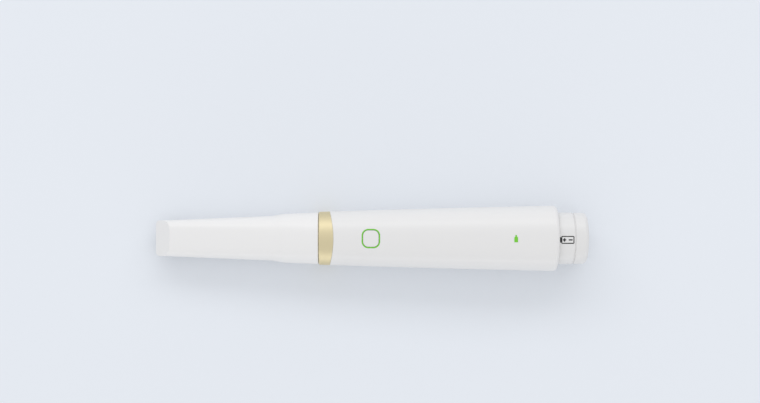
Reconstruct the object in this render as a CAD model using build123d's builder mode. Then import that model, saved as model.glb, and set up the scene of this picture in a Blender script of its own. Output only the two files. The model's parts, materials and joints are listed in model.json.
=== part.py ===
from build123d import *

import os
from math import copysign, cos, pi, sin

os.makedirs("parts", exist_ok=True)

# Wireless intraoral scanner, in millimetres. X runs along the wand from the scan tip to the
# battery, Z points up out of the button side, and the wand lies on its flat belly at Z = 0.

# Lengths along the wand; the handle is as long as what it holds
tip_length = 95.7
tip_seat_gap = 0.2
collar_length = 6.4  # at the wand's sides
collar_bow = 2.2  # added on the middle line
spigot_length = 16.5
bench_length = 46.0
bay_clearance = 9.7
cell_length = 65.0
neck_length = 9.1
cap_groove = 0.5
cap_length = 7.6
rear_bow = 1.2  # how far the rear lines fall back at the wand's sides

# Soft square outline that every section of the wand follows
section_power = 2.3
tip_end_power = 3.6
outline_count = 16
side_seam = 1  # points below the side
belly_seam = outline_count / 4

# Handle housing
collar_rise = 0.35
rear_rim = 4.1
rear_rim_over = 3.45
handle_bulge = 0.5
belly_trim = 0.3
span_margin = 2.0
shell_wall = 2.0
rear_wall = 3.0
rear_round = 2.6
mouth_edge = 0.4
collar_edge = 0.4
joint_gap = 0.1

# Scan tip
tip_end_width = 20.6
tip_end_height = 16.5
tip_end_drop = 2.1
tip_root_width = 28.5
tip_root_height = 28.8
tip_wall = 1.7
tip_round = 2.4
root_round = 0.5
slope_run = 8.9
slope_drop = 11.0
shoulder_setback = 28.4
shoulder_length = 9.0
shoulder_step = 0.9
shoulder_spans = 8
scan_window_start = 3.6
scan_window_length = 15.0
scan_window_rim = 1.9
scan_window_corner = 3.0
mirror_thickness = 1.2
mirror_gap = 0.15
glue_line = 0.05

# Nose that the tip slides over
nose_reach = 45.0
nose_gap = 0.3
nose_wall = 1.4
nose_edge = 0.4
glass_thickness = 1.2
glass_ledge = 0.7
glass_gap = 0.05
seal_setback = 6.0
seal_width = 2.4
seal_depth = 0.7
seal_gap = 0.1

# Optics
projector_share = 0.33  # of the nose's bore
camera_share = 0.275
barrel_wall = 0.8
barrel_room = 0.6
barrel_setback = 2.0
barrel_fit = 0.05
lens_thickness = 1.6
plate_thickness = 3.5
plate_gap = 0.3
bench_lift = 5.0
bench_thickness = 2.0
sensor_setback = 8.0
sensor_board_thickness = 0.8
projector_setback = 13.0
projector_board_thickness = 1.0
board_margin = 0.5
sink_setback = 18.0
sink_base = 2.5
sink_fins = 6
sink_fin_thickness = 0.9
sink_gap = 0.6

# Boards and fasteners
board_thickness = 1.0
button_stack = 7.4
board_front = 5.0
post_diameter = 3.4
post_front = 11.6
post_setback = 3.0
boss_diameter = 4.4
boss_front = 6.0
boss_setback = 7.0
boss_spread = 5.0
boss_foot = 1.2
screw_diameter = 1.6
screw_fit = 0.05
screw_head_diameter = 2.8
screw_head_height = 1.0
screw_length = 5.0
can_width = 12.0
can_height = 2.2
can_wall = 0.3
can_front = 10.0
can_setback = 7.0
antenna_length = 2.0
antenna_width = 6.5
antenna_height = 1.1
antenna_inset = 1.0
antenna_offset = 5.5

# Button, light ring and switch
button_setback = 13.9  # from the frame's plate
ring_length = 10.7
ring_breadth = 11.2
ring_corner = 3.9
ring_stroke = 0.65
ring_fit = 0.05
flange_rim = 1.0
flange_thickness = 1.0
button_gap = 0.2
button_depth = 3.0
stem_diameter = 3.0
button_travel = 0.6
led_size = 0.9
led_height = 0.6
led_gap = 0.2
switch_size = 4.6
switch_height = 2.0
plunger_diameter = 2.0
plunger_fit = 0.15
plunger_reach = 0.8

# Battery-shaped light
light_setback = 25.5  # from the handle's rear
light_breadth = 2.1
light_body = 3.2
light_shoulder = 0.5
light_nub = 0.95
light_nub_breadth = 0.9
light_fit = 0.05
indicator_board_size = 8.0
indicator_board_thickness = 0.8
pad_height = 0.4
flex_width = 5.0
flex_thickness = 0.3
flex_landing = 3.0

# Battery pack and its bay
neck_step = 4.45
cap_reveal = 0.15
neck_edge = 0.3
cap_round = 3.0
groove_depth = 0.6
mouth_gap = 0.3
neck_entry = 2.0
gasket_thickness = 0.9
gasket_rim = 1.4
cell_diameter = 18.4
cell_gap = 0.25
pack_wall = 1.2
pack_front_wall = 1.5
pack_board_thickness = 1.0
end_gap = 0.3
plug_depth = 5.0
plug_fit = 0.05
bay_gap = 0.3
bay_wall = 1.2
bay_front_wall = 2.0
bay_flange = 2.0
bay_room = 1.6
saddle_thickness = 2.0
saddle_setback = 6.0
contact_spread = 4.0
pad_diameter = 3.2
pin_diameter = 1.6
pin_gap = 0.2
block_length = 4.0
block_breadth = 12.6
block_height = 5.0
lead_diameter = 1.1
lead_bend = 1.5
lead_entry = 3.0

# Sections worked out from the cell and the tip
pack_size = cell_diameter + 2 * (cell_gap + pack_wall)
bay_inner = pack_size + 2 * bay_gap
bay_outer = bay_inner + 2 * bay_wall
neck_size = pack_size + 2 * neck_step
mouth_size = neck_size + 2 * mouth_gap
cap_size = neck_size - 2 * cap_reveal
rear_width = neck_size + 2 * rear_rim
rear_height = neck_size + 2 * rear_rim_over
rear_middle = rear_height / 2 - belly_trim
collar_width = tip_root_width + 2 * (shoulder_step + collar_rise)
collar_height = tip_root_height + 2 * (shoulder_step + collar_rise)
collar_middle = collar_height / 2 - belly_trim
tip_end_bottom = collar_middle - tip_end_drop - tip_end_height / 2

# Stations along X
front_length = tip_length + tip_seat_gap + spigot_length + joint_gap + bench_length
bay_length = bay_clearance + bay_front_wall + bay_room
pack_length = pack_front_wall + 3 * end_gap + pack_board_thickness + cell_length + plug_depth
x_tip_end = -(front_length + bay_length + pack_length + cap_groove + cap_length) / 2
x_tip_root = x_tip_end + tip_length
x_shoulder = x_tip_root - shoulder_setback
x_nose_front = x_tip_root - nose_reach
x_collar_front = x_tip_root + tip_seat_gap
x_collar_rear = x_collar_front + collar_length
x_collar_crest = x_collar_rear + collar_bow
x_spigot_rear = x_collar_front + spigot_length
x_plate = x_spigot_rear + joint_gap
x_button = x_plate + button_setback
x_bench_rear = x_plate + bench_length
x_bay_front = x_bench_rear + bay_clearance
x_bay_wall = x_bay_front + bay_front_wall
x_pack_front = x_bay_wall + bay_room
x_pack_board = x_pack_front + pack_front_wall + end_gap
x_cell_front = x_pack_board + pack_board_thickness + end_gap
x_cell_rear = x_cell_front + cell_length
x_neck_rear = x_cell_rear + end_gap + plug_depth
x_handle_rear = x_neck_rear - neck_length
x_mouth = x_handle_rear - rear_wall
x_light = x_handle_rear - light_setback
x_cap_front = x_neck_rear + cap_groove
x_cap_rear = x_cap_front + cap_length


def along(x, x_start, start, x_end, end):
    """Value at x on the straight line from start to end."""
    return start + (end - start) * (x - x_start) / (x_end - x_start)


def squircle(width, bottom, top, power=section_power, seam=side_seam):
    """Points of a soft square between two heights, from its seam on round."""
    points = []
    for step in range(outline_count):
        angle = 2 * pi * (step - seam) / outline_count
        across = copysign(abs(cos(angle)) ** (2 / power), cos(angle))
        upward = copysign(abs(sin(angle)) ** (2 / power), sin(angle))
        points.append((width / 2 * across, (bottom + top) / 2 + (top - bottom) / 2 * upward))
    return points


def handle_sides(x, inset=0):
    """Width, bottom and top of the handle's section at x, set in from its surface."""
    share = along(x, x_collar_front, 0, x_handle_rear, 1)
    bulge = 4 * handle_bulge * share * (1 - share)
    width = along(x, x_collar_front, collar_width, x_handle_rear, rear_width) + bulge
    height = along(x, x_collar_front, collar_height, x_handle_rear, rear_height) + bulge
    return width - 2 * inset, inset - belly_trim, height - belly_trim - inset


def tip_sides(x, inset=0):
    """Width, bottom, top and power of the tip's straight taper at x, set in from its surface."""
    width = along(x, x_tip_end, tip_end_width, x_tip_root, tip_root_width)
    half = along(x, x_tip_end, tip_end_height, x_tip_root, tip_root_height) / 2 - inset
    middle = along(x, x_tip_end, collar_middle - tip_end_drop, x_tip_root, collar_middle)
    power = along(x, x_tip_end, tip_end_power, x_tip_root, section_power)
    return width - 2 * inset, middle - half, middle + half, power


def sleeve_sides(x, inset=0):
    """Like tip_sides, with the S-shaped shoulder that leads to the thicker root, seamed below."""
    share = min(1, max(0, along(x, x_shoulder, 0, x_shoulder + shoulder_length, 1)))
    step = shoulder_step * share**2 * (3 - 2 * share)
    return *tip_sides(x, inset - step), belly_seam


def height_at(x, y, inset=0):
    """Height of the handle's upper surface at x and y."""
    width, bottom, top = handle_sides(x, inset)
    rise = (1 - abs(2 * y / width) ** section_power) ** (1 / section_power)
    return (bottom + top) / 2 + (top - bottom) / 2 * rise


def reach_at(x, z, inset=0):
    """Half the handle's width at x and the height z."""
    width, bottom, top = handle_sides(x, inset)
    level = abs(2 * z - bottom - top) / (top - bottom)
    return width / 2 * (1 - level**section_power) ** (1 / section_power)


def tapered(sides, stations, inset=0):
    """Solid through the sections that sides gives at each station along X."""
    with BuildPart() as form:
        for x in stations:
            with BuildSketch(Plane.YZ.offset(x)):
                with BuildLine():
                    outline = squircle(*sides(x, inset))
                    add(Edge.make_spline(outline, periodic=True, parameters=range(outline_count + 1)))
                make_face()
        loft(ruled=True)
    return form.part


def straight(sides, *stations):
    """Solid with one soft square section along the stations."""
    return tapered(lambda x, inset: sides, stations)


def drilled(spots, diameter, bottom, height):
    """Upright cylinders on the given spots, for posts, screws and the holes that take them."""
    with BuildPart() as pins:
        with BuildSketch(Plane.XY.offset(bottom)):
            with Locations(*spots):
                Circle(diameter / 2)
        extrude(amount=height)
    return pins.part


def disc(x_start, x_end, y, z, diameter):
    """Cylinder along X."""
    with BuildPart() as rod:
        with BuildSketch(Plane.YZ.offset(x_start)):
            with Locations((y, z)):
                Circle(diameter / 2)
        extrude(amount=x_end - x_start)
    return rod.part


def block(x_start, x_end, width, bottom, top):
    """Box about the middle plane."""
    with BuildPart() as solid:
        with BuildSketch(Plane.XY.offset(bottom)):
            with Locations(((x_start + x_end) / 2, 0)):
                Rectangle(x_end - x_start, width)
        extrude(amount=top - bottom)
    return solid.part


def button_block(inset, bottom, height):
    """Upright soft square block about the button, set in from the light ring's outline."""
    with BuildPart() as form:
        with BuildSketch(Plane.XY.offset(bottom)):
            with Locations((x_button, 0)):
                RectangleRounded(ring_length - 2 * inset, ring_breadth - 2 * inset, ring_corner - inset)
        extrude(amount=height)
    return form.part


def light_block(grow, bottom, height):
    """Upright block with the outline of a small battery, its tip toward +Y, grown all round."""
    with BuildPart() as form:
        with BuildSketch(Plane.XY.offset(bottom)) as outline:
            with Locations((x_light, -light_nub / 2)):
                Rectangle(light_breadth, light_body)
            chamfer(outline.vertices().group_by(Axis.Y)[-1], light_shoulder)
            with Locations((x_light, light_body / 2)):
                Rectangle(light_nub_breadth, light_nub)
            if grow:
                offset(amount=grow, kind=Kind.INTERSECTION)
        extrude(amount=height)
    return form.part


# Forms that several pieces share; short spans hold the holes and edges
handle_stations = [
    x_collar_front,
    x_collar_crest + span_margin,
    x_button - ring_length / 2 - span_margin,
    x_button + ring_length / 2 + span_margin,
    (x_button + x_light) / 2,
    x_light - light_breadth - span_margin,
    x_light + light_breadth + span_margin,
    x_handle_rear - rear_round - span_margin,
    x_handle_rear,
]
handle_skin = tapered(handle_sides, handle_stations)
handle_hollow = tapered(handle_sides, handle_stations[:-1] + [x_mouth], shell_wall)


def drum(x_crest, breadth, depth):
    """Upright drum whose side crosses the middle line at x_crest and falls back by depth at the sides."""
    radius = ((breadth / 2) ** 2 + depth**2) / (2 * depth)
    return drilled([(x_crest - radius, 0)], 2 * radius, -rear_height, 3 * rear_height)


parting_slope = (rear_middle - collar_middle) / (x_handle_rear - x_collar_front)
parting = Plane(
    origin=(x_collar_front, 0, collar_middle),
    x_dir=(1, 0, parting_slope),
    z_dir=(-parting_slope, 0, 1),
)


def about_pack(size):
    """Width, bottom and top of a soft square about the battery's axis."""
    return size, rear_middle - size / 2, rear_middle + size / 2


# Hollow handle form, cut flat along the belly
with BuildPart() as housing:
    add(handle_skin)
    add(drum(x_handle_rear, rear_width, rear_bow), mode=Mode.INTERSECT)
    fillet(housing.faces().sort_by(Axis.X)[-1].edges(), rear_round)
    add(handle_hollow, mode=Mode.SUBTRACT)
    mouth = straight(about_pack(mouth_size), x_mouth - rear_wall, x_handle_rear + rear_wall)
    add(mouth, mode=Mode.SUBTRACT)
    rim = housing.faces().sort_by(Axis.X)[-1]
    chamfer(rim.inner_wires()[0].edges(), mouth_edge)
    split(bisect_by=Plane.XY, keep=Keep.TOP)

# Collar ring
with BuildPart() as collar_ring:
    add(housing.part)
    add(drum(x_collar_crest, collar_width, collar_bow), mode=Mode.INTERSECT)
    front_face = collar_ring.faces().filter_by(Axis.X).sort_by(Axis.X)[0]
    chamfer(front_face.outer_wire().edges(), collar_edge)

collar_ring.part.label = "collar_ring"
export_step(collar_ring.part, "parts/collar_ring.step")

# Heights inside the handle
bench_bottom = shell_wall - belly_trim + bench_lift
bench_top = bench_bottom + bench_thickness
board_top = height_at(x_button, 0) - button_stack
board_bottom = board_top - board_thickness
bench_half = reach_at(x_plate, bench_bottom, shell_wall + plate_gap)
board_half = reach_at(x_plate, board_top, shell_wall + plate_gap)
post_spread = min(bench_half, board_half) - post_diameter / 2
post_stations = (x_plate + post_front, x_bench_rear - post_setback)
post_spots = [(x, side * post_spread) for x in post_stations for side in (-1, 1)]
boss_stations = (x_plate + boss_front, x_bench_rear - boss_setback)
boss_spots = [(x, side * boss_spread) for x in boss_stations for side in (-1, 1)]
x_saddle = x_bay_front + saddle_setback

# Upper shell with the button's and the light's openings
with BuildPart() as upper_shell:
    add(housing.part)
    add(drum(x_collar_crest + joint_gap, collar_width, collar_bow), mode=Mode.SUBTRACT)
    add(button_block(-ring_fit, board_top, rear_height), mode=Mode.SUBTRACT)
    add(light_block(light_fit, board_top, rear_height), mode=Mode.SUBTRACT)
    split(bisect_by=parting.offset(joint_gap / 2), keep=Keep.TOP)
upper_shell.part.label = "upper_shell"
export_step(upper_shell.part, "parts/upper_shell.step")

# Lower shell with screw bosses and a saddle under the battery bay
with BuildPart() as lower_shell:
    add(housing.part)
    add(drum(x_collar_crest + joint_gap, collar_width, collar_bow), mode=Mode.SUBTRACT)
    add(drilled(boss_spots, boss_diameter, boss_foot, bench_bottom - boss_foot))
    x_saddle_rear = x_saddle + saddle_thickness
    add(straight(handle_sides(x_saddle, shell_wall / 2), x_saddle, x_saddle_rear))
    add(straight(about_pack(bay_outer + 2 * joint_gap), x_saddle, x_saddle_rear), mode=Mode.SUBTRACT)
    hole_diameter = screw_diameter + 2 * screw_fit
    frame_screw_bottom = bench_top - screw_length
    add(drilled(boss_spots, hole_diameter, frame_screw_bottom, screw_length), mode=Mode.SUBTRACT)
    split(bisect_by=parting.offset(-joint_gap / 2), keep=Keep.BOTTOM)
lower_shell.part.label = "lower_shell"
export_step(lower_shell.part, "parts/lower_shell.step")

# Scan tip: a sleeve with a sloped end, hollow inside and open below at the scan window
shoulder_pitch = shoulder_length / shoulder_spans
shoulder_stations = [x_shoulder + shoulder_pitch * number for number in range(shoulder_spans + 1)]
x_slope = x_tip_end + slope_run
slope_top = tip_sides(x_slope)[2]
slope = Plane(
    origin=(x_slope, 0, slope_top),
    x_dir=(0, 1, 0),
    z_dir=(-slope_drop, 0, slope_run),
)
x_window_rear = x_tip_end + scan_window_start + scan_window_length
x_barrel_start = x_window_rear + span_margin
with BuildPart() as tip_hollow:
    add(tapered(tip_sides, (x_tip_end + tip_wall, x_barrel_start, x_tip_root), tip_wall))
    split(bisect_by=slope.offset(-tip_wall), keep=Keep.BOTTOM)

with BuildPart() as tip_sleeve:
    root_stations = [x_tip_root - span_margin, x_tip_root]
    add(tapered(sleeve_sides, [x_tip_end, x_barrel_start] + shoulder_stations + root_stations))
    split(bisect_by=slope, keep=Keep.BOTTOM)
    end_edges = tip_sleeve.edges().filter_by_position(Axis.X, x_tip_end - tip_wall, x_slope)
    fillet(end_edges, tip_round)
    fillet(tip_sleeve.faces().sort_by(Axis.X)[-1].edges(), root_round)
    add(tip_hollow.part, mode=Mode.SUBTRACT)
    with BuildSketch():
        with Locations((x_window_rear - scan_window_length / 2, 0)):
            scan_window_width = tip_end_width - 2 * (tip_wall + scan_window_rim)
            RectangleRounded(scan_window_length, scan_window_width, scan_window_corner)
    extrude(amount=tip_end_bottom + 2 * tip_wall, mode=Mode.SUBTRACT)
tip_sleeve.part.label = "tip_sleeve"
export_step(tip_sleeve.part, "parts/tip_sleeve.step")

# Mirror glued under the slope
with BuildPart() as tip_mirror:
    mirror_stations = (x_tip_end + tip_wall + mirror_gap, x_slope + 2 * slope_run)
    add(tapered(tip_sides, mirror_stations, tip_wall + mirror_gap))
    split(bisect_by=slope.offset(-tip_wall - glue_line), keep=Keep.BOTTOM)
    split(bisect_by=slope.offset(-tip_wall - glue_line - mirror_thickness), keep=Keep.TOP)
tip_mirror.part.label = "tip_mirror"
export_step(tip_mirror.part, "parts/tip_mirror.step")

# Seal near the nose's root
nose_inset = tip_wall + nose_gap
bore_inset = nose_inset + nose_wall
seal_stations = (x_tip_root - seal_setback - seal_width, x_tip_root - seal_setback)
with BuildPart() as nose_seal:
    add(tapered(tip_sides, seal_stations, tip_wall + seal_gap))
    add(tapered(tip_sides, seal_stations, nose_inset + seal_depth), mode=Mode.SUBTRACT)
nose_seal.part.label = "nose_seal"
export_step(nose_seal.part, "parts/nose_seal.step")

# Hollow nose with its spigot between the shells
x_glass_rear = x_nose_front + glass_thickness
ledge_inset = bore_inset - glass_ledge
with BuildPart() as nose_barrel:
    seal_span = [seal_stations[0] - span_margin, seal_stations[1] + span_margin]
    nose_stations = [x_nose_front, x_nose_front + span_margin] + seal_span + [x_collar_front]
    add(tapered(tip_sides, nose_stations, nose_inset))
    chamfer(nose_barrel.faces().sort_by(Axis.X)[0].edges(), nose_edge)
    add(tapered(handle_sides, (x_collar_front, x_spigot_rear), shell_wall + joint_gap))
    bore_stations = (x_nose_front, x_nose_front + span_margin, x_spigot_rear)
    add(tapered(tip_sides, bore_stations, bore_inset), mode=Mode.SUBTRACT)
    add(straight(tip_sides(x_nose_front, ledge_inset), x_nose_front, x_glass_rear), mode=Mode.SUBTRACT)
    add(nose_seal.part, mode=Mode.SUBTRACT)
nose_barrel.part.label = "nose_barrel"
export_step(nose_barrel.part, "parts/nose_barrel.step")

# Glass that closes the nose
with BuildPart() as front_window:
    add(straight(tip_sides(x_nose_front, ledge_inset + glass_gap), x_nose_front, x_glass_rear))
front_window.part.label = "front_window"
export_step(front_window.part, "parts/front_window.step")

# One pattern projector between two cameras, their barrels held by the frame's plate
bore_width, bore_bottom, bore_top = tip_sides(x_nose_front, bore_inset)[:3]
optic_height = (bore_bottom + bore_top) / 2
projector_diameter = projector_share * bore_width
camera_diameter = camera_share * bore_width
camera_offset = (bore_width - camera_diameter) / 2 - barrel_room
x_barrel_front = x_glass_rear + barrel_setback
x_lens_front = x_barrel_front + barrel_wall
x_lens_rear = x_lens_front + lens_thickness
x_sensor = x_plate + sensor_setback
x_sensor_rear = x_sensor + sensor_board_thickness
x_projector = x_plate + projector_setback
x_sink = x_projector + projector_board_thickness
projector_bore = projector_diameter - 2 * barrel_wall
camera_bore = camera_diameter - 2 * barrel_wall

with BuildPart() as projector_barrel:
    add(disc(x_barrel_front, x_projector, 0, optic_height, projector_diameter))
    add(disc(x_barrel_front, x_projector, 0, optic_height, projector_bore), mode=Mode.SUBTRACT)
projector_barrel.part.label = "projector_barrel"
export_step(projector_barrel.part, "parts/projector_barrel.step")

with BuildPart() as projector_lens:
    add(disc(x_lens_front, x_lens_rear, 0, optic_height, projector_bore - 2 * barrel_fit))
projector_lens.part.label = "projector_lens"
export_step(projector_lens.part, "parts/projector_lens.step")

with BuildPart() as camera_barrel_left:
    add(disc(x_barrel_front, x_sensor, camera_offset, optic_height, camera_diameter))
    add(disc(x_barrel_front, x_sensor, camera_offset, optic_height, camera_bore), mode=Mode.SUBTRACT)
camera_barrel_left.part.label = "camera_barrel_left"
export_step(camera_barrel_left.part, "parts/camera_barrel_left.step")

with BuildPart() as camera_lens_left:
    add(disc(x_lens_front, x_lens_rear, camera_offset, optic_height, camera_bore - 2 * barrel_fit))
camera_lens_left.part.label = "camera_lens_left"
export_step(camera_lens_left.part, "parts/camera_lens_left.step")

with BuildPart() as camera_barrel_right:
    mirror(camera_barrel_left.part, about=Plane.XZ)
camera_barrel_right.part.label = "camera_barrel_right"
export_step(camera_barrel_right.part, "parts/camera_barrel_right.step")

with BuildPart() as camera_lens_right:
    mirror(camera_lens_left.part, about=Plane.XZ)
camera_lens_right.part.label = "camera_lens_right"
export_step(camera_lens_right.part, "parts/camera_lens_right.step")

# Frame: front plate, bench and the posts under the main board
board_screw_bottom = board_top - screw_length
x_plate_rear = x_plate + plate_thickness
with BuildPart() as optical_frame:
    add(straight(handle_sides(x_plate, shell_wall + plate_gap), x_plate, x_plate_rear))
    add(block(x_plate, x_bench_rear, 2 * bench_half, bench_bottom, bench_top))
    add(drilled(post_spots, post_diameter, bench_bottom, board_bottom - bench_bottom))
    projector_hole = projector_diameter + 2 * barrel_fit
    camera_hole = camera_diameter + 2 * barrel_fit
    add(disc(x_plate, x_plate_rear, 0, optic_height, projector_hole), mode=Mode.SUBTRACT)
    add(disc(x_plate, x_plate_rear, camera_offset, optic_height, camera_hole), mode=Mode.SUBTRACT)
    add(disc(x_plate, x_plate_rear, -camera_offset, optic_height, camera_hole), mode=Mode.SUBTRACT)
    add(drilled(boss_spots, hole_diameter, bench_bottom, bench_thickness), mode=Mode.SUBTRACT)
    add(drilled(post_spots, hole_diameter, board_screw_bottom, screw_length), mode=Mode.SUBTRACT)
optical_frame.part.label = "optical_frame"
export_step(optical_frame.part, "parts/optical_frame.step")

with BuildPart() as frame_screws:
    add(drilled(boss_spots, screw_diameter, frame_screw_bottom, screw_length))
    add(drilled(boss_spots, screw_head_diameter, bench_top, screw_head_height))
frame_screws.part.label = "frame_screws"
export_step(frame_screws.part, "parts/frame_screws.step")

# Boards and heat sink that stand on the bench
with BuildPart() as sensor_board:
    sensor_width = 2 * (camera_offset + board_margin) + camera_diameter
    add(block(x_sensor, x_sensor_rear, sensor_width, bench_top, 2 * optic_height - bench_top))
    add(disc(x_sensor, x_sensor_rear, 0, optic_height, projector_hole), mode=Mode.SUBTRACT)
sensor_board.part.label = "sensor_board"
export_step(sensor_board.part, "parts/sensor_board.step")

sink_width = 2 * (post_spread - sink_gap) - post_diameter
sink_top = board_bottom - sink_gap
x_sink_rear = x_bench_rear - sink_setback
with BuildPart() as projector_board:
    add(block(x_projector, x_sink, sink_width, bench_top, sink_top))
projector_board.part.label = "projector_board"
export_step(projector_board.part, "parts/projector_board.step")

with BuildPart() as heat_sink:
    add(block(x_sink, x_sink + sink_base, sink_width, bench_top, sink_top))
    fin_pitch = (sink_width - sink_fin_thickness) / (sink_fins - 1)
    with BuildSketch(Plane.XY.offset(bench_top)):
        with Locations(((x_sink + x_sink_rear) / 2, 0)):
            with GridLocations(0, fin_pitch, 1, sink_fins):
                Rectangle(x_sink_rear - x_sink, sink_fin_thickness)
    extrude(amount=sink_top - bench_top)
heat_sink.part.label = "heat_sink"
export_step(heat_sink.part, "parts/heat_sink.step")

# Main board and what is soldered to it
x_board_front = x_plate + board_front
with BuildPart() as main_board:
    add(block(x_board_front, x_bench_rear, 2 * board_half, board_bottom, board_top))
    add(drilled(post_spots, hole_diameter, board_bottom, board_thickness), mode=Mode.SUBTRACT)
main_board.part.label = "main_board"
export_step(main_board.part, "parts/main_board.step")

with BuildPart() as board_screws:
    add(drilled(post_spots, screw_diameter, board_screw_bottom, screw_length))
    add(drilled(post_spots, screw_head_diameter, board_top, screw_head_height))
board_screws.part.label = "board_screws"
export_step(board_screws.part, "parts/board_screws.step")

x_can = x_button + can_front
x_can_rear = x_bench_rear - can_setback
can_top = board_top + can_height
with BuildPart() as shield_can:
    add(block(x_can, x_can_rear, can_width, board_top, can_top))
    hollow_width = can_width - 2 * can_wall
    can_hollow = block(x_can + can_wall, x_can_rear - can_wall, hollow_width, board_top, can_top - can_wall)
    add(can_hollow, mode=Mode.SUBTRACT)
shield_can.part.label = "shield_can"
export_step(shield_can.part, "parts/shield_can.step")

with BuildPart() as antenna:
    with BuildSketch(Plane.XY.offset(board_top)):
        with Locations((x_board_front + antenna_inset + antenna_length / 2, antenna_offset)):
            Rectangle(antenna_length, antenna_width)
    extrude(amount=antenna_height)
antenna.part.label = "antenna"
export_step(antenna.part, "parts/antenna.step")

led_spots = [
    (x_button + side * (ring_length - ring_stroke) / 2, 0) for side in (-1, 1)
] + [
    (x_button, side * (ring_breadth - ring_stroke) / 2) for side in (-1, 1)
]
with BuildPart() as ring_leds:
    with BuildSketch(Plane.XY.offset(board_top)):
        with Locations(*led_spots):
            Rectangle(led_size, led_size)
    extrude(amount=led_height)
ring_leds.part.label = "ring_leds"
export_step(ring_leds.part, "parts/ring_leds.step")

# Switch under the button, with a well for its plunger
switch_top = board_top + switch_height
stem_bottom = switch_top + button_travel + 2 * plunger_fit
well_depth = plunger_reach + button_travel + 2 * plunger_fit
x_switch = x_button - switch_size / 2
with BuildPart() as button_switch:
    add(block(x_switch, x_switch + switch_size, switch_size, board_top, switch_top))
    well = drilled([(x_button, 0)], plunger_diameter + 2 * plunger_fit, switch_top - well_depth, well_depth)
    add(well, mode=Mode.SUBTRACT)
button_switch.part.label = "button_switch"
export_step(button_switch.part, "parts/button_switch.step")

with BuildPart() as switch_plunger:
    plunger_bottom = switch_top - plunger_reach
    add(drilled([(x_button, 0)], plunger_diameter, plunger_bottom, stem_bottom - plunger_bottom))
switch_plunger.part.label = "switch_plunger"
export_step(switch_plunger.part, "parts/switch_plunger.step")

# Button, flush with the handle, and the light guide round it
cap_inset = ring_stroke + button_gap
cap_bottom = height_at(x_button, 0) - button_depth
with BuildPart() as button_cap:
    add(button_block(cap_inset, cap_bottom, 2 * button_depth))
    add(handle_skin, mode=Mode.INTERSECT)
    add(drilled([(x_button, 0)], stem_diameter, stem_bottom, cap_bottom - stem_bottom))
button_cap.part.label = "button_cap"
export_step(button_cap.part, "parts/button_cap.step")

x_flange = x_button - ring_length / 2 - flange_rim
flange_top = height_at(x_flange, ring_breadth / 2 + flange_rim, shell_wall) - ring_fit
guide_bottom = board_top + led_height + led_gap
with BuildPart() as light_ring:
    add(button_block(0, guide_bottom, rear_height))
    add(button_block(-flange_rim, flange_top - flange_thickness, flange_thickness))
    add(handle_skin, mode=Mode.INTERSECT)
    add(button_block(ring_stroke, guide_bottom, rear_height), mode=Mode.SUBTRACT)
light_ring.part.label = "light_ring"
export_step(light_ring.part, "parts/light_ring.step")

# Battery-shaped light, with its lamp on a small board on top of the bay
pad_top = rear_middle + bay_outer / 2 + pad_height
indicator_top = pad_top + indicator_board_thickness
x_indicator = x_light - indicator_board_size / 2
x_indicator_rear = x_indicator + indicator_board_size
with BuildPart() as indicator_board:
    add(block(x_indicator, x_indicator_rear, indicator_board_size, pad_top, indicator_top))
indicator_board.part.label = "indicator_board"
export_step(indicator_board.part, "parts/indicator_board.step")

with BuildPart() as indicator_led:
    x_led = x_light - led_size / 2
    add(block(x_led, x_led + led_size, led_size, indicator_top, indicator_top + led_height))
indicator_led.part.label = "indicator_led"
export_step(indicator_led.part, "parts/indicator_led.step")

with BuildPart() as battery_light:
    add(light_block(0, indicator_top + led_height + led_gap, rear_height))
    add(handle_skin, mode=Mode.INTERSECT)
battery_light.part.label = "battery_light"
export_step(battery_light.part, "parts/battery_light.step")

# Battery bay, held between the shells by its flange
with BuildPart() as battery_bay:
    pad_span = (x_indicator - span_margin, x_indicator_rear + span_margin)
    add(straight(about_pack(bay_outer), x_bay_front, *pad_span, x_mouth))
    add(tapered(handle_sides, (x_mouth - bay_flange, x_mouth), shell_wall + joint_gap))
    add(block(x_indicator, x_indicator_rear, indicator_board_size, rear_middle, pad_top))
    add(straight(about_pack(bay_inner), x_bay_wall, x_mouth), mode=Mode.SUBTRACT)
    pin_hole = pin_diameter + 2 * plug_fit
    for side in (-1, 1):
        add(disc(x_bay_front, x_bay_wall, side * contact_spread, rear_middle, pin_hole), mode=Mode.SUBTRACT)
battery_bay.part.label = "battery_bay"
export_step(battery_bay.part, "parts/battery_bay.step")

x_block = x_bay_front - block_length
with BuildPart() as contact_block:
    block_bottom = rear_middle - block_height / 2
    add(block(x_block, x_bay_front, block_breadth, block_bottom, block_bottom + block_height))
    for side in (-1, 1):
        add(disc(x_block, x_bay_front, side * contact_spread, rear_middle, pin_hole), mode=Mode.SUBTRACT)
contact_block.part.label = "contact_block"
export_step(contact_block.part, "parts/contact_block.step")

with BuildPart() as contact_pins:
    for side in (-1, 1):
        add(disc(x_block, x_pack_front - pin_gap, side * contact_spread, rear_middle, pin_diameter))
contact_pins.part.label = "contact_pins"
export_step(contact_pins.part, "parts/contact_pins.step")

# Leads from the pins up to the main board
x_lead = x_bench_rear - lead_entry
with BuildPart() as power_leads:
    with BuildLine() as lead_route:
        FilletPolyline(
            (x_block, contact_spread, rear_middle),
            (x_lead, contact_spread, rear_middle),
            (x_lead, contact_spread, board_bottom),
            radius=lead_bend,
        )
    with BuildSketch(Plane(origin=lead_route.line @ 0, z_dir=lead_route.line % 0)):
        Circle(lead_diameter / 2)
    sweep()
    mirror(about=Plane.XZ)
power_leads.part.label = "power_leads"
export_step(power_leads.part, "parts/power_leads.step")

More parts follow.
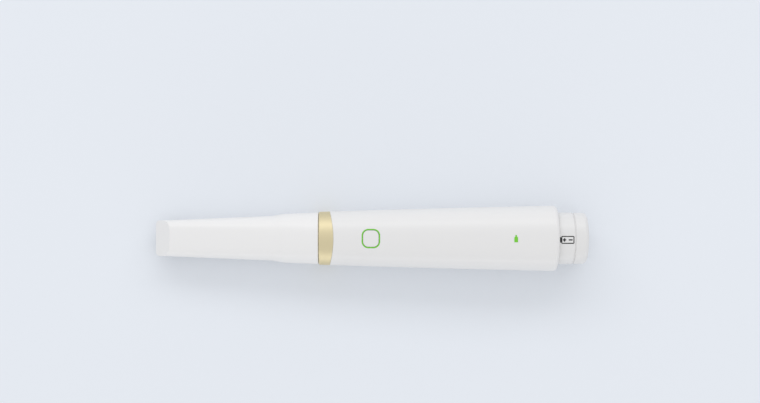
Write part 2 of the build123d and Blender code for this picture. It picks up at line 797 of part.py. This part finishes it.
# Flat cable from the main board over the bay to the indicator board
bay_crown = rear_middle + bay_outer / 2
flex_path = [
    (x_bench_rear - flex_landing, board_top),
    (x_bench_rear, board_top),
    (x_bay_front, bay_crown),
    (x_indicator - flex_landing / 2, bay_crown),
    (x_indicator, indicator_top),
    (x_indicator + flex_landing / 2, indicator_top),
]
with BuildPart() as flex_cable:
    with BuildSketch(Plane.XZ):
        with BuildLine():
            upper_side = [(x, z + flex_thickness) for x, z in reversed(flex_path)]
            Polyline(*flex_path, *upper_side, close=True)
        make_face()
    extrude(amount=flex_width / 2, both=True)
flex_cable.part.label = "flex_cable"
export_step(flex_cable.part, "parts/flex_cable.step")

# Battery pack: housing with its neck, cap, cell, board, contacts and gasket
x_neck_front = x_handle_rear - neck_entry
pack_bore = pack_size - 2 * pack_wall
with BuildPart() as battery_housing:
    add(straight(about_pack(neck_size), x_neck_front, x_neck_rear))
    add(drum(x_neck_rear, neck_size, rear_bow), mode=Mode.INTERSECT)
    chamfer(battery_housing.faces().sort_by(Axis.X)[-1].edges(), neck_edge)
    add(straight(about_pack(pack_size), x_pack_front, x_neck_front))
    add(straight(about_pack(pack_bore), x_pack_front + pack_front_wall, x_neck_rear), mode=Mode.SUBTRACT)
    pad_hole = pad_diameter + 2 * plug_fit
    x_wall_rear = x_pack_front + pack_front_wall
    for side in (-1, 1):
        add(disc(x_pack_front, x_wall_rear, side * contact_spread, rear_middle, pad_hole), mode=Mode.SUBTRACT)
battery_housing.part.label = "battery_housing"
export_step(battery_housing.part, "parts/battery_housing.step")

with BuildPart() as battery_end_cap:
    add(straight(about_pack(cap_size), x_cap_front - rear_bow, x_cap_rear))
    add(drum(x_cap_rear, neck_size, rear_bow), mode=Mode.INTERSECT)
    add(drum(x_cap_front, neck_size, rear_bow), mode=Mode.SUBTRACT)
    fillet(battery_end_cap.faces().sort_by(Axis.X)[-1].edges(), cap_round)
    chamfer(battery_end_cap.faces().sort_by(Axis.X)[0].edges(), neck_edge)
    add(straight(about_pack(neck_size - 2 * groove_depth), x_neck_rear - rear_bow, x_cap_front))
    add(drum(x_neck_rear, neck_size, rear_bow), mode=Mode.SUBTRACT)
    add(straight(about_pack(pack_bore - 2 * plug_fit), x_neck_rear - plug_depth, x_neck_rear))
battery_end_cap.part.label = "battery_end_cap"
export_step(battery_end_cap.part, "parts/battery_end_cap.step")

with BuildPart() as battery_cell:
    add(disc(x_cell_front, x_cell_rear, 0, rear_middle, cell_diameter))
battery_cell.part.label = "battery_cell"
export_step(battery_cell.part, "parts/battery_cell.step")

with BuildPart() as battery_board:
    add(disc(x_pack_board, x_pack_board + pack_board_thickness, 0, rear_middle, cell_diameter))
battery_board.part.label = "battery_board"
export_step(battery_board.part, "parts/battery_board.step")

with BuildPart() as battery_contacts:
    for side in (-1, 1):
        add(disc(x_pack_front, x_pack_board, side * contact_spread, rear_middle, pad_diameter))
battery_contacts.part.label = "battery_contacts"
export_step(battery_contacts.part, "parts/battery_contacts.step")

with BuildPart() as battery_gasket:
    x_gasket = x_neck_front - gasket_thickness
    add(straight(about_pack(neck_size - 2 * gasket_rim), x_gasket, x_neck_front))
    add(straight(about_pack(pack_size + 2 * plug_fit), x_gasket, x_neck_front), mode=Mode.SUBTRACT)
battery_gasket.part.label = "battery_gasket"
export_step(battery_gasket.part, "parts/battery_gasket.step")
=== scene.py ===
import json

import bpy
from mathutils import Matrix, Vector


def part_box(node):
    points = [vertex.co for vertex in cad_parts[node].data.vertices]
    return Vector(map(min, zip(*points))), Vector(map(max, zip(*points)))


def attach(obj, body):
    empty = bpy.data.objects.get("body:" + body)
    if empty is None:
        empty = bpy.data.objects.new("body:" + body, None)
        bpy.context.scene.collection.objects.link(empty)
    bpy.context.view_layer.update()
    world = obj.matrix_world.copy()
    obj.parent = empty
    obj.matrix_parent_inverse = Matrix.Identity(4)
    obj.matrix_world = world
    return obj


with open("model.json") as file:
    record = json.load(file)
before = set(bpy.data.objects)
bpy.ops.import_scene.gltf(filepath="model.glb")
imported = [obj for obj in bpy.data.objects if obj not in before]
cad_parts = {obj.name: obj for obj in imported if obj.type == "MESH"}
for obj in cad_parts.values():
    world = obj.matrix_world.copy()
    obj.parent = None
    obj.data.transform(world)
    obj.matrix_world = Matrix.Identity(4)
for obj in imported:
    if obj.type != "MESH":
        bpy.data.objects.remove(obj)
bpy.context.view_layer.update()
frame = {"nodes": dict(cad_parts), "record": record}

nodes = frame["nodes"]
MM = 0.001

# The photograph's frame, in pixels: the wand is seen from straight above its button, and its
# middle lies left of and below the picture's middle
PHOTO_WIDTH = 760
FOCAL_PIXELS = 3000
SENSOR_MM = 36.0
MM_PER_PIXEL = 0.586
PICTURE_RIGHT_OF_WAND = 8.6
PICTURE_ABOVE_WAND = 36.75
WAND_AXIS_MM = 16.0

# Studio: the floor's side in metres, and the strength of what paper and sky give off
FLOOR_SIZE = 6.0
PAPER_LIFT = 0.15
SKY_STRENGTH = 0.9

# How strongly a bump shows, and how far a surface strays from its finish's roughness or glow
SOFT_RELIEF = 0.2
RELIEF = 0.3
SOFT_SPREAD = 0.04
SPREAD = 0.06
GLOW_SPREAD = 0.1


def linear(code):
    """An sRGB hex value as the linear colour that the shader takes."""
    channels = [int(code[i:i + 2], 16) / 255 for i in (1, 3, 5)]
    straight = [c / 12.92 if c <= 0.04045 else ((c + 0.055) / 1.055) ** 2.4 for c in channels]
    return straight + [1.0]


def add_node(tree, kind, settings=None, inputs=None):
    """Adds a node with its own settings, and sets or links its inputs."""
    node = tree.nodes.new(kind)
    for name, value in (settings or {}).items():
        setattr(node, name, value)
    for name, value in (inputs or {}).items():
        if isinstance(value, bpy.types.NodeSocket):
            tree.links.new(value, node.inputs[name])
        else:
            node.inputs[name].default_value = value
    return node


def start_material(name):
    """An empty material and its node tree."""
    material = bpy.data.materials.new(name)
    material.use_nodes = True
    material.node_tree.nodes.clear()
    return material, material.node_tree


def moulded_plastic(name, colour, roughness, grain_mm, grain_depth_mm):
    """Moulded polycarbonate or nylon: an even colour under a soft sheen, broken by the fine
    spark-eroded grain that the mould leaves on it."""
    material, tree = start_material(name)
    place = add_node(tree, "ShaderNodeTexCoord").outputs["Object"]
    grain = add_node(
        tree,
        "ShaderNodeTexNoise",
        inputs={"Vector": place, "Scale": 1 / (grain_mm * MM), "Detail": 2.0},
    )
    relief = add_node(
        tree,
        "ShaderNodeBump",
        inputs={
            "Height": grain.outputs["Fac"],
            "Strength": SOFT_RELIEF,
            "Distance": grain_depth_mm * MM,
        },
    )
    sheen = add_node(
        tree,
        "ShaderNodeMapRange",
        inputs={
            "Value": grain.outputs["Fac"],
            "To Min": roughness - SOFT_SPREAD,
            "To Max": roughness + SOFT_SPREAD,
        },
    )
    surface = add_node(
        tree,
        "ShaderNodeBsdfPrincipled",
        inputs={
            "Base Color": linear(colour),
            "Roughness": sheen.outputs["Result"],
            "IOR": 1.5,
            "Normal": relief.outputs["Normal"],
        },
    )
    add_node(tree, "ShaderNodeOutputMaterial", inputs={"Surface": surface.outputs["BSDF"]})
    return material


def turned_metal(name, colour, roughness, line_mm, line_depth_mm):
    """Turned or milled metal, bare or anodised: fine tool lines across the wand's length draw
    the highlights out. The lines are drawn wider than real ones so that they show."""
    material, tree = start_material(name)
    place = add_node(tree, "ShaderNodeTexCoord").outputs["Object"]
    line_length_mm = 125.0
    across = 1 / (line_mm * MM)
    along = 1 / (line_length_mm * MM)
    stretch = add_node(
        tree, "ShaderNodeMapping", inputs={"Vector": place, "Scale": (across, along, along)}
    )
    lines = add_node(
        tree,
        "ShaderNodeTexNoise",
        inputs={"Vector": stretch.outputs["Vector"], "Scale": 1.0, "Detail": 3.0},
    )
    relief = add_node(
        tree,
        "ShaderNodeBump",
        inputs={
            "Height": lines.outputs["Fac"],
            "Strength": RELIEF,
            "Distance": line_depth_mm * MM,
        },
    )
    sheen = add_node(
        tree,
        "ShaderNodeMapRange",
        inputs={
            "Value": lines.outputs["Fac"],
            "To Min": roughness - SPREAD,
            "To Max": roughness + SPREAD,
        },
    )
    surface = add_node(
        tree,
        "ShaderNodeBsdfPrincipled",
        inputs={
            "Base Color": linear(colour),
            "Metallic": 1.0,
            "Roughness": sheen.outputs["Result"],
            "Normal": relief.outputs["Normal"],
        },
    )
    add_node(tree, "ShaderNodeOutputMaterial", inputs={"Surface": surface.outputs["BSDF"]})
    return material


def blasted_metal(name, colour, roughness, grit_mm, grit_depth_mm):
    """Bead-blasted metal, bare, plated or anodised: tiny even dents scatter the light to a dull,
    sparkling tone."""
    material, tree = start_material(name)
    place = add_node(tree, "ShaderNodeTexCoord").outputs["Object"]
    dents = add_node(
        tree, "ShaderNodeTexVoronoi", inputs={"Vector": place, "Scale": 1 / (grit_mm * MM)}
    )
    relief = add_node(
        tree,
        "ShaderNodeBump",
        inputs={
            "Height": dents.outputs["Distance"],
            "Strength": RELIEF,
            "Distance": grit_depth_mm * MM,
        },
    )
    surface = add_node(
        tree,
        "ShaderNodeBsdfPrincipled",
        inputs={
            "Base Color": linear(colour),
            "Metallic": 1.0,
            "Roughness": roughness,
            "Normal": relief.outputs["Normal"],
        },
    )
    add_node(tree, "ShaderNodeOutputMaterial", inputs={"Surface": surface.outputs["BSDF"]})
    return material


def lit_light_guide(name, colour, glow):
    """Green translucent acrylic lit from below: part of its colour is its own light, and cloudy
    scatter inside makes the glow slightly uneven."""
    material, tree = start_material(name)
    place = add_node(tree, "ShaderNodeTexCoord").outputs["Object"]
    cloud_mm = 1.5
    cloud = add_node(
        tree, "ShaderNodeTexNoise", inputs={"Vector": place, "Scale": 1 / (cloud_mm * MM)}
    )
    brightness = add_node(
        tree,
        "ShaderNodeMapRange",
        inputs={
            "Value": cloud.outputs["Fac"],
            "To Min": (1 - GLOW_SPREAD) * glow,
            "To Max": (1 + GLOW_SPREAD) * glow,
        },
    )
    surface = add_node(
        tree,
        "ShaderNodeBsdfPrincipled",
        inputs={
            "Base Color": linear(colour),
            "Roughness": 0.3,
            "IOR": 1.49,
            "Emission Color": linear(colour),
            "Emission Strength": brightness.outputs["Result"],
        },
    )
    add_node(tree, "ShaderNodeOutputMaterial", inputs={"Surface": surface.outputs["BSDF"]})
    return material


def polished_glass(name, tint):
    """Polished optical glass: clear, with a faint tint in what shows through it and a little
    dust-fine haze."""
    material, tree = start_material(name)
    place = add_node(tree, "ShaderNodeTexCoord").outputs["Object"]
    haze_mm = 4.0
    haze = add_node(
        tree, "ShaderNodeTexNoise", inputs={"Vector": place, "Scale": 1 / (haze_mm * MM)}
    )
    polish = add_node(
        tree,
        "ShaderNodeMapRange",
        inputs={"Value": haze.outputs["Fac"], "To Min": 0.0, "To Max": 0.06},
    )
    surface = add_node(
        tree,
        "ShaderNodeBsdfPrincipled",
        inputs={
            "Base Color": linear(tint),
            "Roughness": polish.outputs["Result"],
            "IOR": 1.52,
            "Transmission Weight": 1.0,
        },
    )
    add_node(tree, "ShaderNodeOutputMaterial", inputs={"Surface": surface.outputs["BSDF"]})
    return material


def front_coated_mirror():
    """Silver evaporated on glass: a near perfect mirror with the faintest clouding."""
    material, tree = start_material("front_coated_silver_mirror")
    place = add_node(tree, "ShaderNodeTexCoord").outputs["Object"]
    cloud_mm = 6.0
    cloud = add_node(
        tree, "ShaderNodeTexNoise", inputs={"Vector": place, "Scale": 1 / (cloud_mm * MM)}
    )
    polish = add_node(
        tree,
        "ShaderNodeMapRange",
        inputs={"Value": cloud.outputs["Fac"], "To Min": 0.01, "To Max": 0.04},
    )
    surface = add_node(
        tree,
        "ShaderNodeBsdfPrincipled",
        inputs={
            "Base Color": linear("#F0F1F2"),
            "Metallic": 1.0,
            "Roughness": polish.outputs["Result"],
        },
    )
    add_node(tree, "ShaderNodeOutputMaterial", inputs={"Surface": surface.outputs["BSDF"]})
    return material


def solder_mask():
    """Green solder mask on a circuit board: copper tracks under it show as paler, raised lanes."""
    material, tree = start_material("green_solder_mask")
    place = add_node(tree, "ShaderNodeTexCoord").outputs["Object"]
    lane_mm = 1.2
    copper_mm = 0.03
    lanes = add_node(
        tree,
        "ShaderNodeTexBrick",
        settings={"offset": 0.37, "squash": 0.6},
        inputs={
            "Vector": place,
            "Color1": linear("#12522D"),
            "Color2": linear("#165A32"),
            "Mortar": linear("#2A7A48"),
            "Scale": 1 / (2 * lane_mm * MM),
            "Mortar Size": 0.05,
            "Mortar Smooth": 0.3,
        },
    )
    relief = add_node(
        tree,
        "ShaderNodeBump",
        inputs={"Height": lanes.outputs["Fac"], "Strength": RELIEF, "Distance": copper_mm * MM},
    )
    surface = add_node(
        tree,
        "ShaderNodeBsdfPrincipled",
        inputs={
            "Base Color": lanes.outputs["Color"],
            "Roughness": 0.35,
            "IOR": 1.5,
            "Normal": relief.outputs["Normal"],
        },
    )
    add_node(tree, "ShaderNodeOutputMaterial", inputs={"Surface": surface.outputs["BSDF"]})
    return material


def fired_ceramic():
    """Alumina body of small lamps and the antenna: chalky cream with a fine grain."""
    material, tree = start_material("fired_alumina")
    place = add_node(tree, "ShaderNodeTexCoord").outputs["Object"]
    grain_mm = 0.12
    grain = add_node(
        tree, "ShaderNodeTexNoise", inputs={"Vector": place, "Scale": 1 / (grain_mm * MM)}
    )
    shade = add_node(
        tree,
        "ShaderNodeMix",
        settings={"data_type": "RGBA"},
        inputs={"Factor": grain.outputs["Fac"], "A": linear("#E6E0D2"), "B": linear("#D8D1C1")},
    )
    surface = add_node(
        tree,
        "ShaderNodeBsdfPrincipled",
        inputs={
            "Base Color": shade.outputs["Result"],
            "Roughness": 0.6,
            "IOR": 1.6,
        },
    )
    add_node(tree, "ShaderNodeOutputMaterial", inputs={"Surface": surface.outputs["BSDF"]})
    return material


def seal_rubber():
    """Moulded silicone rubber: charcoal, dull, with a bloom that breaks up the shine."""
    material, tree = start_material("charcoal_silicone_rubber")
    place = add_node(tree, "ShaderNodeTexCoord").outputs["Object"]
    bloom_mm = 0.8
    bloom = add_node(
        tree,
        "ShaderNodeTexNoise",
        inputs={"Vector": place, "Scale": 1 / (bloom_mm * MM), "Detail": 4.0},
    )
    sheen = add_node(
        tree,
        "ShaderNodeMapRange",
        inputs={"Value": bloom.outputs["Fac"], "To Min": 0.5, "To Max": 0.75},
    )
    surface = add_node(
        tree,
        "ShaderNodeBsdfPrincipled",
        inputs={
            "Base Color": linear("#2B2C2E"),
            "Roughness": sheen.outputs["Result"],
            "IOR": 1.42,
        },
    )
    add_node(tree, "ShaderNodeOutputMaterial", inputs={"Surface": surface.outputs["BSDF"]})
    return material


def film(name, colour, roughness, crease_mm, crease_depth_mm):
    """Thin plastic skin, such as polyimide film, wire insulation or shrink wrap: glossy, with
    soft creases where it was pulled tight."""
    material, tree = start_material(name)
    place = add_node(tree, "ShaderNodeTexCoord").outputs["Object"]
    creases = add_node(
        tree,
        "ShaderNodeTexNoise",
        inputs={"Vector": place, "Scale": 1 / (crease_mm * MM), "Detail": 1.0},
    )
    relief = add_node(
        tree,
        "ShaderNodeBump",
        inputs={
            "Height": creases.outputs["Fac"],
            "Strength": RELIEF,
            "Distance": crease_depth_mm * MM,
        },
    )
    surface = add_node(
        tree,
        "ShaderNodeBsdfPrincipled",
        inputs={
            "Base Color": linear(colour),
            "Roughness": roughness,
            "IOR": 1.55,
            "Normal": relief.outputs["Normal"],
        },
    )
    add_node(tree, "ShaderNodeOutputMaterial", inputs={"Surface": surface.outputs["BSDF"]})
    return material


def printing_ink():
    """Black pad-printing ink: matt, with pinholes too small to see that grey it a little."""
    material, tree = start_material("black_pad_printing_ink")
    place = add_node(tree, "ShaderNodeTexCoord").outputs["Object"]
    pinhole_mm = 0.2
    pinholes = add_node(
        tree, "ShaderNodeTexNoise", inputs={"Vector": place, "Scale": 1 / (pinhole_mm * MM)}
    )
    shade = add_node(
        tree,
        "ShaderNodeMix",
        settings={"data_type": "RGBA"},
        inputs={"Factor": pinholes.outputs["Fac"], "A": linear("#161616"), "B": linear("#242424")},
    )
    surface = add_node(
        tree,
        "ShaderNodeBsdfPrincipled",
        inputs={
            "Base Color": shade.outputs["Result"],
            "Roughness": 0.55,
            "IOR": 1.5,
        },
    )
    add_node(tree, "ShaderNodeOutputMaterial", inputs={"Surface": surface.outputs["BSDF"]})
    return material


def pale_paper():
    """Matt studio paper: pale and even. What the camera, a mirror or a lens sees of it is
    lifted towards white, and the light that it gives back to the wand isn't."""
    material, tree = start_material("matt_studio_paper")
    ray = add_node(tree, "ShaderNodeLightPath").outputs
    seen = add_node(
        tree,
        "ShaderNodeMath",
        settings={"operation": "MAXIMUM"},
        inputs={0: ray["Is Camera Ray"], 1: ray["Is Glossy Ray"]},
    )
    seen_through = add_node(
        tree,
        "ShaderNodeMath",
        settings={"operation": "MAXIMUM"},
        inputs={0: seen.outputs["Value"], 1: ray["Is Transmission Ray"]},
    )
    lift = add_node(
        tree,
        "ShaderNodeMath",
        settings={"operation": "MULTIPLY"},
        inputs={0: seen_through.outputs["Value"], 1: PAPER_LIFT},
    )
    surface = add_node(
        tree,
        "ShaderNodeBsdfPrincipled",
        inputs={
            "Base Color": linear("#D4D8DE"),
            "Roughness": 0.9,
            "Emission Color": linear("#F2F6FA"),
            "Emission Strength": lift.outputs["Value"],
        },
    )
    add_node(tree, "ShaderNodeOutputMaterial", inputs={"Surface": surface.outputs["BSDF"]})
    return material


# One finish for each of the record's material slots. Where three numbers follow the colour, they
# are the roughness and the width and depth of the pattern in millimetres
finishes = {
    "white_housing": moulded_plastic("satin_white_polycarbonate", "#E5E4E3", 0.36, 0.35, 0.01),
    "white_tip": moulded_plastic("satin_white_autoclave_plastic", "#EAE9E8", 0.36, 0.35, 0.01),
    "white_button": moulded_plastic("satin_white_button_plastic", "#E5E4E3", 0.34, 0.35, 0.01),
    "white_pack": moulded_plastic("satin_white_pack_plastic", "#E1E0DF", 0.38, 0.35, 0.01),
    "champagne_metal": turned_metal("champagne_anodised_aluminium", "#DFD3AF", 0.56, 0.25, 0.004),
    "green_guide": lit_light_guide("lit_green_acrylic", "#5FA528", glow=0.52),
    "optical_glass": polished_glass("coated_optical_glass", "#EEF4F2"),
    "front_mirror": front_coated_mirror(),
    "black_aluminium": blasted_metal("black_anodised_aluminium", "#2A2B2E", 0.42, 0.25, 0.01),
    "bare_aluminium": turned_metal("milled_aluminium", "#C4C6C8", 0.34, 0.4, 0.006),
    "board_green": solder_mask(),
    "steel": blasted_metal("tinned_steel", "#B8BABD", 0.3, 0.2, 0.004),
    "gold_contact": blasted_metal("gold_plated_brass", "#E2BE6A", 0.22, 0.15, 0.003),
    "black_plastic": moulded_plastic("black_moulded_nylon", "#1D1E20", 0.5, 0.3, 0.015),
    "grey_plastic": moulded_plastic("grey_moulded_nylon", "#8E9092", 0.48, 0.3, 0.015),
    "pale_ceramic": fired_ceramic(),
    "seal_rubber": seal_rubber(),
    "lead_red": film("red_silicone_insulation", "#A5231F", 0.4, 0.6, 0.02),
    "amber_film": film("amber_polyimide_film", "#A9701F", 0.25, 3.0, 0.03),
    "cell_wrap": film("blue_shrink_wrap", "#2C5E98", 0.22, 2.5, 0.03),
}
for part in frame["record"]["subparts"]:
    looks = nodes[part["node"]].data.materials
    looks.clear()
    looks.append(finishes[part["material_slot"]])

# Battery sign printed on the pack's neck, in millimetres: a frame with its terminal towards
# the handle, a plus and a minus
SIGN_GAP = 0.02
SIGN_MIDDLE = -0.74
SIGN_LENGTH = 7.6
SIGN_BREADTH = 4.6
SIGN_CORNER = 0.7
SIGN_STROKE = 0.58
SIGN_ARM = 0.62
SIGN_BAR = 0.75
TERMINAL_LENGTH = 0.8
TERMINAL_BREADTH = 3.2
PLUS_FROM_FRAME = 1.85
MINUS_FROM_FRAME = 4.25
MINUS_LENGTH = 2.3
MINUS_CORNER = 0.125
INK_THICKNESS = 0.03
SIGN_CLEARANCE = 1.0
SIDE_TOLERANCE = 0.075
FRAME_CORNER_STEPS = 6
TERMINAL_CORNER_STEPS = 4
MINUS_CORNER_STEPS = 3
SIGN_CUTS = 4

handle_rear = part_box("upper_shell")[1].x / MM
neck_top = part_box("battery_housing")[1].z / MM
terminal_start = handle_rear + SIGN_GAP
frame_start = terminal_start + TERMINAL_LENGTH


def flat_patch(x_start, length, breadth):
    """A flat rectangle above the neck, centred on the sign's middle line."""
    bpy.ops.object.select_all(action="DESELECT")
    middle = Vector((x_start + length / 2, SIGN_MIDDLE, neck_top + SIGN_CLEARANCE)) * MM
    bpy.ops.mesh.primitive_plane_add(size=MM, location=middle)
    patch = bpy.context.object
    patch.scale = (length, breadth, 1.0)
    bpy.ops.object.transform_apply(location=True, scale=True)
    return patch


def round_corners(radius, steps):
    """Rounds every corner of the patch at hand."""
    bpy.ops.object.mode_set(mode="EDIT")
    bpy.ops.mesh.select_all(action="SELECT")
    bpy.ops.mesh.bevel(offset=radius * MM, segments=steps, affect="VERTICES")
    bpy.ops.object.mode_set(mode="OBJECT")


def draw_frame():
    """Rounded rectangle with only its stroke left."""
    patch = flat_patch(frame_start, SIGN_LENGTH, SIGN_BREADTH)
    round_corners(SIGN_CORNER, FRAME_CORNER_STEPS)
    bpy.ops.object.mode_set(mode="EDIT")
    bpy.ops.mesh.select_all(action="SELECT")
    bpy.ops.mesh.inset(thickness=SIGN_STROKE * MM)
    bpy.ops.mesh.delete(type="FACE")
    bpy.ops.object.mode_set(mode="OBJECT")
    return patch


def draw_terminal():
    """Solid bar with softened corners against the frame's end."""
    patch = flat_patch(terminal_start, TERMINAL_LENGTH, TERMINAL_BREADTH)
    round_corners(SIGN_STROKE / 2, TERMINAL_CORNER_STEPS)
    return patch


def draw_plus():
    """Small square with one arm drawn out of each side."""
    x_middle = frame_start + PLUS_FROM_FRAME
    patch = flat_patch(x_middle - SIGN_BAR / 2, SIGN_BAR, SIGN_BAR)
    middle = Vector((x_middle, SIGN_MIDDLE, neck_top + SIGN_CLEARANCE)) * MM
    for way in ((1, 0, 0), (-1, 0, 0), (0, 1, 0), (0, -1, 0)):
        side = middle + Vector(way) * SIGN_BAR / 2 * MM
        bpy.ops.object.mode_set(mode="EDIT")
        bpy.ops.mesh.select_mode(type="EDGE")
        bpy.ops.mesh.select_all(action="DESELECT")
        bpy.ops.object.mode_set(mode="OBJECT")
        for edge in patch.data.edges:
            start, end = (patch.data.vertices[i].co for i in edge.vertices)
            edge.select = ((start + end) / 2 - side).length < SIDE_TOLERANCE * MM
        bpy.ops.object.mode_set(mode="EDIT")
        reach = Vector(way) * SIGN_ARM * MM
        bpy.ops.mesh.extrude_region_move(TRANSFORM_OT_translate={"value": reach})
        bpy.ops.object.mode_set(mode="OBJECT")
    return patch


def draw_minus():
    """Bar in line with the plus."""
    patch = flat_patch(frame_start + MINUS_FROM_FRAME, MINUS_LENGTH, SIGN_BAR)
    round_corners(MINUS_CORNER, MINUS_CORNER_STEPS)
    return patch


strokes = [draw_terminal(), draw_plus(), draw_minus(), draw_frame()]
bpy.ops.object.select_all(action="DESELECT")
for stroke in strokes:
    stroke.select_set(True)
bpy.context.view_layer.objects.active = strokes[-1]
bpy.ops.object.join()
battery_sign = bpy.context.object
battery_sign.name = "battery_sign"
bpy.ops.object.mode_set(mode="EDIT")
bpy.ops.mesh.select_all(action="SELECT")
bpy.ops.mesh.quads_convert_to_tris()
bpy.ops.mesh.subdivide(number_cuts=SIGN_CUTS)
bpy.ops.object.mode_set(mode="OBJECT")
bpy.ops.object.transform_apply(location=True, rotation=True, scale=True)

# The strokes are laid down on the neck and given the ink's thickness
lay_on = battery_sign.modifiers.new("lay_on_neck", "SHRINKWRAP")
lay_on.target = nodes["battery_housing"]
lay_on.wrap_method = "PROJECT"
lay_on.use_project_z = True
lay_on.use_positive_direction = False
lay_on.use_negative_direction = True
lay_on.offset = INK_THICKNESS * MM
bpy.ops.object.modifier_apply(modifier=lay_on.name)
ink = battery_sign.modifiers.new("ink", "SOLIDIFY")
ink.thickness = INK_THICKNESS * MM
ink.offset = -1.0
bpy.ops.object.modifier_apply(modifier=ink.name)
battery_sign.data.materials.clear()
battery_sign.data.materials.append(printing_ink())
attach(battery_sign, "battery")

# Pale floor, soft studio lamps and the camera
bpy.ops.object.select_all(action="DESELECT")
bpy.ops.mesh.primitive_plane_add(size=FLOOR_SIZE, location=(0, 0, 0))
floor = bpy.context.object
floor.name = "floor"
floor.data.materials.append(pale_paper())


def softbox(name, place, size, power):
    """A rectangular lamp, in metres and watts, that faces the wand and doesn't show."""
    lamp = bpy.data.lights.new(name, "AREA")
    lamp.shape = "RECTANGLE"
    lamp.size, lamp.size_y = size
    lamp.energy = power
    stand = bpy.data.objects.new(name, lamp)
    bpy.context.scene.collection.objects.link(stand)
    stand.location = place
    stand.rotation_euler = (-Vector(place)).to_track_quat("-Z", "Y").to_euler()
    stand.visible_camera = False


softbox("rear_softbox", place=(0.0, 2.76, 2.49), size=(7.2, 1.35), power=50.4)
softbox("rear_strip", place=(0.0, 2.7, 0.48), size=(7.2, 0.6), power=6.3)
softbox("front_strip", place=(0.0, -2.7, 0.36), size=(7.2, 0.6), power=25.2)

world = bpy.data.worlds.new("studio")
bpy.context.scene.world = world
world.use_nodes = True
sky = world.node_tree.nodes["Background"]
sky.inputs["Color"].default_value = linear("#F1F2F4")
sky.inputs["Strength"].default_value = SKY_STRENGTH

camera_data = bpy.data.cameras.new("camera")
camera_data.sensor_width = SENSOR_MM
camera_data.lens = FOCAL_PIXELS * SENSOR_MM / PHOTO_WIDTH
camera = bpy.data.objects.new("camera", camera_data)
bpy.context.scene.collection.objects.link(camera)
camera.location = (
    PICTURE_RIGHT_OF_WAND * MM_PER_PIXEL * MM,
    PICTURE_ABOVE_WAND * MM_PER_PIXEL * MM,
    (WAND_AXIS_MM + FOCAL_PIXELS * MM_PER_PIXEL) * MM,
)
bpy.context.scene.camera = camera
bpy.context.scene.view_settings.view_transform = "Standard"
